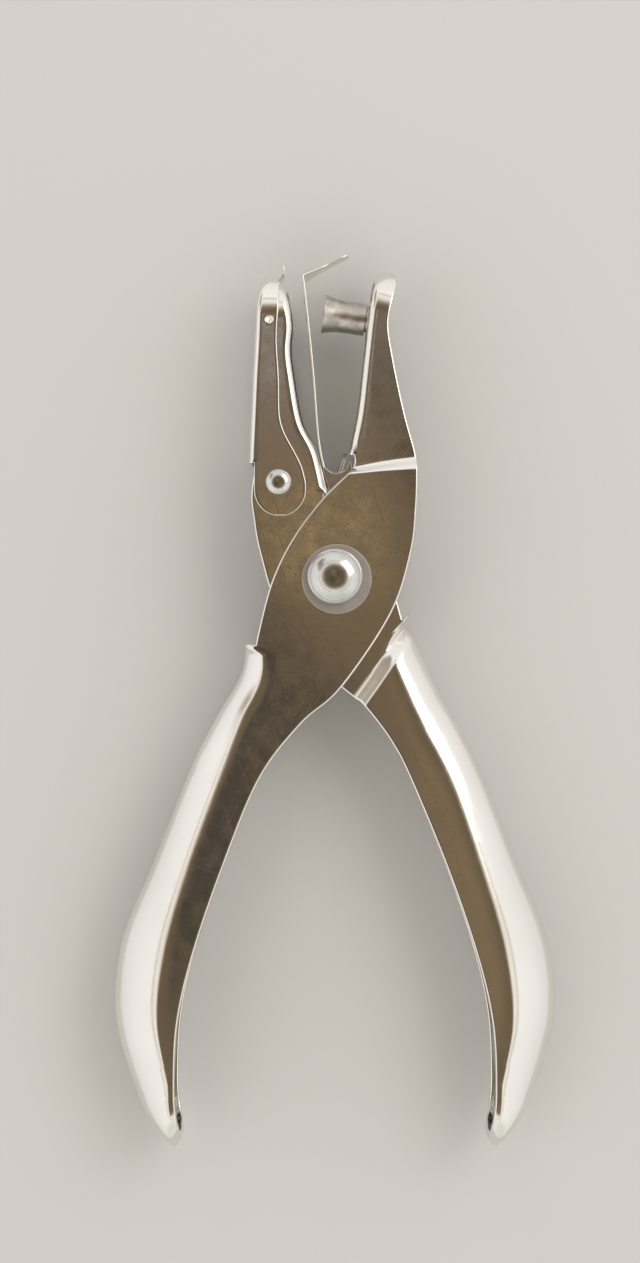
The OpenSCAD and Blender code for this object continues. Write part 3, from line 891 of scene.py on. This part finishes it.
def pivot_washer():
    obj = ring_piece(WASHER_BORE_R, WASHER_R, WASHER_Z, WASHER_Z + WASHER_T, WASHER_ROUND, WASHER_SHIFT)
    return piece(obj, "pivot_washer_ring", washer_metal, "pivot_washer", "die_body")


def pivot_sleeve():
    obj = ring_piece(PIVOT_BORE_R, SLEEVE_R, -SLEEVE_HALF, SLEEVE_HALF, SLEEVE_ROUND, (0, 0, 0))
    return piece(obj, "pivot_sleeve_tube", wire_metal, "pivot_sleeve", "die_body")


def chip_holder_rivets():
    inside = INNER_HALF - SHEET
    head_z = HOLDER_HALF + FACE_CLEAR
    profile = [(0, inside), (HINGE_SHANK_R, inside), (HINGE_SHANK_R, head_z)]
    profile += [(HINGE_HEAD_R - HINGE_RIM, head_z)]
    profile += dome_profile(HINGE_HEAD_R, HINGE_HEAD_H, head_z, steps=12)
    bm = turned_mesh(profile, TURN_STEPS // 2)
    back = bm.copy()
    bmesh.ops.scale(back, vec=(1, 1, -1), verts=back.verts)
    bmesh.ops.reverse_faces(back, faces=back.faces)
    mesh = bpy.data.meshes.new("back")
    back.to_mesh(mesh)
    back.free()
    bm.from_mesh(mesh)
    bpy.data.meshes.remove(mesh)
    bm.transform(Matrix.Translation((*HINGE, 0)))
    return piece(scratch_object(bm), "chip_holder_rivet_pair", rivet_metal,
                 "chip_holder_rivets", "die_body")


punch_pin()
main_rivet()
pivot_washer()
pivot_sleeve()
chip_holder_rivets()


# Stripper

STRIP_LINE = ((-5.1, 0.985), (-4.35, 0.852), (-3.4, 0.656), (-2.65, 0.46), (-1.8, 0.362), (-0.75, 0.294))
LIP_SLOPE = math.radians(26.7)
LIP_LEN = 8.2
LIP_HALF = 2.4
STRIP_HOLE_Y = 42.0
STRIP_HOLE_R = 3.675
STRIP_ROUND = 0.19
LIP_STEPS = 10
LIP_START = 0.05
LIP_CORNER = 0.5
EAR_R = 4.66
EAR_ROUND = 0.08
EAR_STEPS = 40
CREST_STEPS = 6
EAR_CREST = ((3.5, 12), (2.5, 18.2), (1.9, 17.2), (0.9, 16.6), (-0.6, 16.6), (-1.9, 17.4), (-0.7, 13))
EAR_ARC = (math.radians(160), math.radians(379))


def stripper():
    line = [Vector((x, y * JAW_REACH)) for x, y in STRIP_LINE]
    ways = [1 - k / LIP_STEPS for k in range(LIP_STEPS)] + [LIP_START]
    lip = [line[0] + Vector((math.cos(LIP_SLOPE), math.sin(LIP_SLOPE))) * LIP_LEN * f for f in ways]
    rest = spline(line, CURVE_STEPS)
    halves = [mixed(EAR_HALF, LIP_HALF, min(f * 2, 1)) for f in ways] + [EAR_HALF] * len(rest)
    halves[0] -= LIP_CORNER
    obj = bevelled(scratch_object(strip_mesh(lip + rest, halves, STRIP_T)), STRIP_ROUND)
    turned = Matrix.Translation((line[1].x, STRIP_HOLE_Y, 0)) @ Matrix.Rotation(math.pi / 2, 4, "Y")
    bored(obj, STRIP_HOLE_R, turned, 8 * STRIP_T)
    turns = [mixed(*EAR_ARC, k / EAR_STEPS) for k in range(EAR_STEPS + 1)]
    outline = [(EAR_R * math.cos(a), EAR_R * math.sin(a)) for a in turns]
    outline += [tuple(p) for p in spline(EAR_CREST, CREST_STEPS)]
    for low, high in ((EAR_HALF - STRIP_T, EAR_HALF), (-EAR_HALF, STRIP_T - EAR_HALF)):
        ear = bevelled(scratch_object(plate_mesh(outline, low, high)), EAR_ROUND)
        bored(ear, PIVOT_BORE_R, Matrix.Identity(4), THROUGH)
        combined(obj, ear, "UNION")
    return piece(obj, "stripper_strip", strip_metal, "stripper", "die_body")


stripper()


# Return spring

WIRE_R = 0.325
COIL_R = 3.885
SPRING_CURLS = 5
COIL_PITCH = 1.1
PUNCH_LEG = Vector((1.575, 19.34))
DIE_LEG = Vector((-0.85, 17.19))
HOOK_TOP = 4.95
HOOK_BEND = 0.9
HOOK_WAYS = (0.2, 0.4, 0.6, 0.8)
PUNCH_LEG_WAYS = (0, 0.35, 0.7, 0.95)
DIE_LEG_WAYS = (0.05, 0.3, 0.6, 1)
CURL_STEPS = 40
WIRE_SIDES = 14


def leaving(point, side):
    """Angle at which a straight leg to a point leaves the coil."""
    return math.atan2(point.y, point.x) - side * math.acos(COIL_R / point.length)


def spring_path():
    """The wire's middle line from its hook over the coil to the other leg, and half the coil's height."""
    first = leaving(PUNCH_LEG, -1)
    last = leaving(DIE_LEG, 1) + 2 * math.pi * SPRING_CURLS
    half = COIL_PITCH * (last - first) / (4 * math.pi)
    steps = SPRING_CURLS * CURL_STEPS
    coil = []
    for k in range(steps + 1):
        a = mixed(first, last, k / steps)
        coil.append(Vector((COIL_R * math.cos(a), COIL_R * math.sin(a), mixed(half, -half, k / steps))))
    corner = Vector((*PUNCH_LEG, half))
    toward = (coil[0] - corner).normalized()
    bend_end = corner + toward * HOOK_BEND
    hook = [corner + Vector((0, 0, HOOK_TOP - half)), corner + Vector((0, 0, HOOK_BEND))]
    turn = [mixed(mixed(hook[1], corner, f), mixed(corner, bend_end, f), f) for f in HOOK_WAYS]
    leg = [mixed(bend_end, coil[0], f) for f in PUNCH_LEG_WAYS]
    end = Vector((*DIE_LEG, -half))
    return hook + turn + leg + coil + [mixed(coil[-1], end, f) for f in DIE_LEG_WAYS], half


def return_spring():
    path, half = spring_path()
    obj = scratch_object(tube_mesh(path, WIRE_R, WIRE_SIDES))
    obj = piece(obj, "return_spring_wire", wire_metal, "return_spring", None)
    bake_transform(obj)


return_spring()


# Clip holder

HOLDER_SHAPE = (
    (-11.2, 0.986, -9.1, 0.984),
    (-12, 0.957, -8.85, 0.953),
    (-12.45, 0.89, -8.96, 0.89),
    (-12.7, 0.774, -9.25, 0.774),
    (-13.05, 0.646, -8.9, 0.646),
    (-13.35, 0.505, -8.6, 0.505),
    (-13.6, 0.392, -6.4, 0.406),
    (-13.7, 0.294, -4.3, 0.333))
DETENT = Vector((-10.4, 40.9))
DETENT_R = 0.75
DETENT_DEPTH = 0.3
DETENT_ABOVE = 0.4
DETENT_TIP_R = 0.1
DETENT_TIP_H = 0.03
DETENT_STEPS = 32
FOOT_TOP = 17.9
FOOT_R = 4.1
FOOT_X = HINGE.x + 0.25
FOOT_LOW = HINGE.y - 1.3
FOOT_LEAD = 1.0
FOOT_TURN = math.radians(78)
FOOT_SIDE_STEPS = 8
FOOT_ROUND_STEPS = 9
FOOT_BEND_GROWTH = 0.5
FINGER_LIP = ((-9.6, 0.08), (-8.6, 0.15), (-8.25, 0.9), (-8.3, 2.2))
FINGER_HALF = HOLDER_HALF - JAW_TIP_ROUND - HOLDER_SHEET
FINGER_ROUND = 0.2
FINGER_STEPS = 3
HOLDER_ROUND = 0.14
HINGE_PLAY = 0.06


def foot_row(y):
    """A row across the flat feet, which have no web."""
    reach = FOOT_R if y >= FOOT_LOW else math.sqrt(FOOT_R ** 2 - (FOOT_LOW - y) ** 2)
    right = FOOT_X + reach
    if y > HINGE.y:
        right -= FOOT_LEAD * (y - HINGE.y) / (FOOT_TOP + FOOT_LEAD - HINGE.y)
    row = Row((FOOT_X - reach, y), (right, y), HOLDER_HALF, 0)
    row.split = 0.0
    row.has_web = False
    return row


def chip_holder():
    rows = fine_rows(jaw_rows(HOLDER_SHAPE, HOLDER_HALF, HOLDER_BEND))
    round_end(rows, 0, JAW_TIP_LEN, JAW_TIP_ROUND)
    rows = [r for r in with_rows_at(rows, (FOOT_TOP,)) if r.web.y >= FOOT_TOP - NEAR_ZERO]
    end = rows[-1]
    end.split = FOOT_X - FOOT_R - end.web.x
    for row in rows:
        row.bend = min(row.bend, SPLIT_BEND * end.split + FOOT_BEND_GROWTH * (row.web - end.web).length)
    upper = [mixed(FOOT_TOP, FOOT_LOW, (k + 1) / FOOT_SIDE_STEPS) for k in range(FOOT_SIDE_STEPS)]
    turns = [FOOT_TURN * (k + 1) / FOOT_ROUND_STEPS for k in range(FOOT_ROUND_STEPS)]
    lower = [FOOT_LOW - FOOT_R * math.sin(a) for a in turns]
    rows += [foot_row(y) for y in upper + lower]
    obj = bevelled(scratch_object(sheet_mesh(rows, HOLDER_SHEET, (True, False))), HOLDER_ROUND)
    base = JAW_REACH * HOLDER_SHAPE[0][3] - HOLDER_SHEET / 2
    lip_line = [p + Vector((0, base)) for p in spline(FINGER_LIP, FINGER_STEPS)]
    lip = strip_mesh(lip_line, [FINGER_HALF] * len(lip_line), HOLDER_SHEET)
    combined(obj, bevelled(scratch_object(lip), FINGER_ROUND), "UNION")
    bored(obj, HINGE_SHANK_R + HINGE_PLAY, Matrix.Translation((*HINGE, 0)), THROUGH)
    stamp = [(0, DETENT_ABOVE), (DETENT_R, DETENT_ABOVE), (DETENT_R, 0),
             (DETENT_TIP_R, DETENT_TIP_H - DETENT_DEPTH), (0, -DETENT_DEPTH)]
    for side in (1, -1):
        press = turned_mesh(stamp, DETENT_STEPS)
        place = Matrix.Translation((*DETENT, side * HOLDER_HALF))
        press.transform(place @ Matrix.Scale(side, 4, (0, 0, 1)))
        bmesh.ops.recalc_face_normals(press, faces=press.faces)
        combined(obj, scratch_object(press), "DIFFERENCE")
    return piece(obj, "chip_holder_sheet", nickel, "chip_holder", "holder_body")


chip_holder()


# Camera, floor and light

# The first four are in millimetres. CLIP_START, the floor's sizes and the lamp's are in metres.
CAMERA_PLACE = Vector((-2.37, -8.69, 435.85))
FOCUS_Z = 15.85
FRAME_HEIGHT = 199.55
SENSOR_HEIGHT = 36
CLIP_START = 0.01
FLOOR_SIZE = 2.0
FLOOR_DROP = 0.0004
FLOOR_COLOUR = (0.74, 0.733, 0.718)
FLOOR_ROUGHNESS = 0.7
LAMP_PLACE = Vector((0.42, 0.3, 0.62))
LAMP_SIZE = (0.5, 0.4)
LAMP_POWER = 0.9
LAMP_COLOUR = (1, 0.97, 0.93)


def add_camera():
    data = bpy.data.cameras.new("camera")
    data.sensor_fit = "VERTICAL"
    data.sensor_height = SENSOR_HEIGHT
    data.lens = SENSOR_HEIGHT * (CAMERA_PLACE.z - FOCUS_Z) / FRAME_HEIGHT
    data.clip_start = CLIP_START
    camera = bpy.data.objects.new("camera", data)
    camera.location = CAMERA_PLACE * MM
    bpy.context.scene.collection.objects.link(camera)
    bpy.context.scene.camera = camera


def add_floor():
    signs = ((-1, -1), (1, -1), (1, 1), (-1, 1))
    corners = [(x * FLOOR_SIZE, y * FLOOR_SIZE, 0) for x, y in signs]
    mesh = bpy.data.meshes.new("floor")
    mesh.from_pydata(corners, [], [(0, 1, 2, 3)])
    floor = bpy.data.objects.new("floor", mesh)
    floor.location.z = -FLOOR_DROP
    bpy.context.scene.collection.objects.link(floor)
    material = bpy.data.materials.new("pale_floor")
    material.use_nodes = True
    shader = material.node_tree.nodes["Principled BSDF"]
    shader.inputs["Base Color"].default_value = (*FLOOR_COLOUR, 1)
    shader.inputs["Roughness"].default_value = FLOOR_ROUGHNESS
    mesh.materials.append(material)


# The room's colours by the height that the light comes from: 0 is the horizon and 1 is straight overhead
ROOM = (
    (0.0, (0.86, 0.845, 0.82)),
    (0.35, (0.98, 0.965, 0.94)),
    (0.772, (1.06, 1.045, 1.02)),
    (0.785, (0.66, 0.62, 0.58)),
    (0.805, (0.66, 0.62, 0.58)),
    (0.82, (1.04, 0.98, 0.9)),
    (0.865, (1.02, 0.94, 0.84)),
    (0.93, (0.27, 0.21, 0.14)),
    (0.96, (0.15, 0.113, 0.068)))

# Soft patches in the room: direction, radius of the full colour, radius of its soft edge, colour
PATCHES = (
    ((-0.58, 0.42, 0.70), 0.10, 0.26, (0.46, 0.41, 0.35)),
    ((-0.61, 0.61, 0.5), 0.13, 0.28, (0.4, 0.345, 0.28)),
    ((0.1, -0.95, 0.3), 0.30, 0.75, (0.80, 0.815, 0.74)),
    ((0.08, -0.09, 1.0), 0.03, 0.13, (0.24, 0.17, 0.10)),
    ((-0.07, -0.05, 1.0), 0.078, 0.098, (0.068, 0.057, 0.046)),
    ((0.045, 0.075, 1.0), 0.025, 0.062, (0.088, 0.068, 0.048)),
    ((-0.002, 0.036, 1.0), 0.010, 0.046, (0.4, 0.27, 0.135)),
    ((-0.022, 0.125, 1.0), 0.025, 0.052, (0.34, 0.3, 0.285)))


def add_world():
    """A bright room that darkens to a warm brown overhead, where the camera stands."""
    world = bpy.data.worlds.new("studio")
    bpy.context.scene.world = world
    world.use_nodes = True
    nodes, links = world.node_tree.nodes, world.node_tree.links
    place = nodes.new("ShaderNodeTexCoord")
    split = nodes.new("ShaderNodeSeparateXYZ")
    links.new(place.outputs["Generated"], split.inputs["Vector"])
    ramp = nodes.new("ShaderNodeValToRGB")
    for k, (position, colour) in enumerate(ROOM):
        element = ramp.color_ramp.elements[k] if k < 2 else ramp.color_ramp.elements.new(position)
        element.position = position
        element.color = (*colour, 1)
    links.new(split.outputs["Z"], ramp.inputs["Fac"])
    colour = ramp.outputs["Color"]
    for direction, inner, outer, tint in PATCHES:
        away = nodes.new("ShaderNodeVectorMath")
        away.operation = "DISTANCE"
        away.inputs[1].default_value = Vector(direction).normalized()
        links.new(place.outputs["Generated"], away.inputs[0])
        share = nodes.new("ShaderNodeMapRange")
        share.interpolation_type = "SMOOTHSTEP"
        share.inputs["From Min"].default_value = outer
        share.inputs["From Max"].default_value = inner
        links.new(away.outputs["Value"], share.inputs["Value"])
        blend = nodes.new("ShaderNodeMixRGB")
        blend.inputs["Color2"].default_value = (*tint, 1)
        links.new(share.outputs["Result"], blend.inputs["Fac"])
        links.new(colour, blend.inputs["Color1"])
        colour = blend.outputs["Color"]
    links.new(colour, nodes["Background"].inputs["Color"])


def add_lamp():
    """A soft box above the jaws, to the right."""
    data = bpy.data.lights.new("soft_box", "AREA")
    data.shape = "RECTANGLE"
    data.size, data.size_y = LAMP_SIZE
    data.energy = LAMP_POWER
    data.color = LAMP_COLOUR
    lamp = bpy.data.objects.new("soft_box", data)
    lamp.location = LAMP_PLACE
    lamp.rotation_euler = (-LAMP_PLACE).to_track_quat("-Z", "Y").to_euler()
    bpy.context.scene.collection.objects.link(lamp)


add_camera()
add_floor()
add_world()
add_lamp()
bpy.context.scene.view_settings.view_transform = "Standard"
